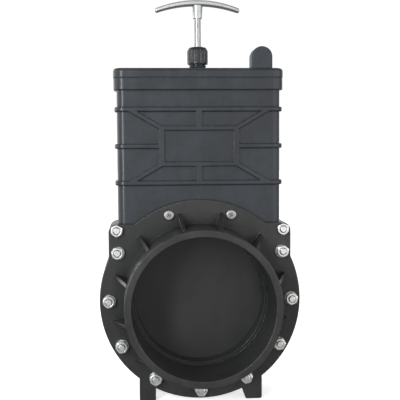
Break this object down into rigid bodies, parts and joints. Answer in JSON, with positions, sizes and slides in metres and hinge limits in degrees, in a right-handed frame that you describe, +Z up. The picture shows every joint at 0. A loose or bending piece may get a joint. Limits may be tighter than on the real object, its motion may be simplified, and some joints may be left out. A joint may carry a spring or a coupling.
{
  "type": "pvc gate valve",
  "caption": "Slide gate valve for plastic pipe: ribbed flat housing between two gusseted socket flanges, with a blade lifted by a stem and T handle.",
  "frame": {"origin": "on the floor, under the middle of the valve", "axes": "+Z up along the stem; the bore of the pipe runs along Y at z = 0.15; the front faces -Y, with the lug of the lid on +X"},
  "size_m": [0.294, 0.227, 0.5879],
  "materials": {
    "grey_pvc": "moulded, satin",
    "flange_pvc": "moulded, satin",
    "lid_pvc": "moulded, satin",
    "nut_plastic": "moulded, satin",
    "guide_plastic": "smooth",
    "blade_plastic": "smooth, satin",
    "gasket_rubber": "matt",
    "seal_rubber": "matt",
    "stainless_steel": "turned, bright",
    "cast_aluminium": "cast and brushed"
  },
  "bodies": {
    "housing": {"gate_housing": "grey_pvc", "left_guide_rail": "guide_plastic", "right_guide_rail": "guide_plastic", "front_flange": "flange_pvc", "rear_flange": "flange_pvc", "front_flange_gasket": "gasket_rubber", "rear_flange_gasket": "gasket_rubber", "front_seat_seal": "seal_rubber", "rear_seat_seal": "seal_rubber", "lid_gasket": "gasket_rubber", "lid": "lid_pvc", "lid_lug": "lid_pvc", "gland_packing": "seal_rubber", "gland_bush": "guide_plastic", "gland_nut": "nut_plastic"},
    "gate": {"gate_blade": "blade_plastic", "stem_bracket": "stainless_steel", "bracket_rivets": "stainless_steel", "stem": "stainless_steel", "t_handle": "cast_aluminium"}
  },
  "joints": [
    {"name": "gate_lift", "type": "slide", "parent": "housing", "child": "gate", "axis": [0, 0, 1], "range_m": [0, 0.205]}
  ]
}
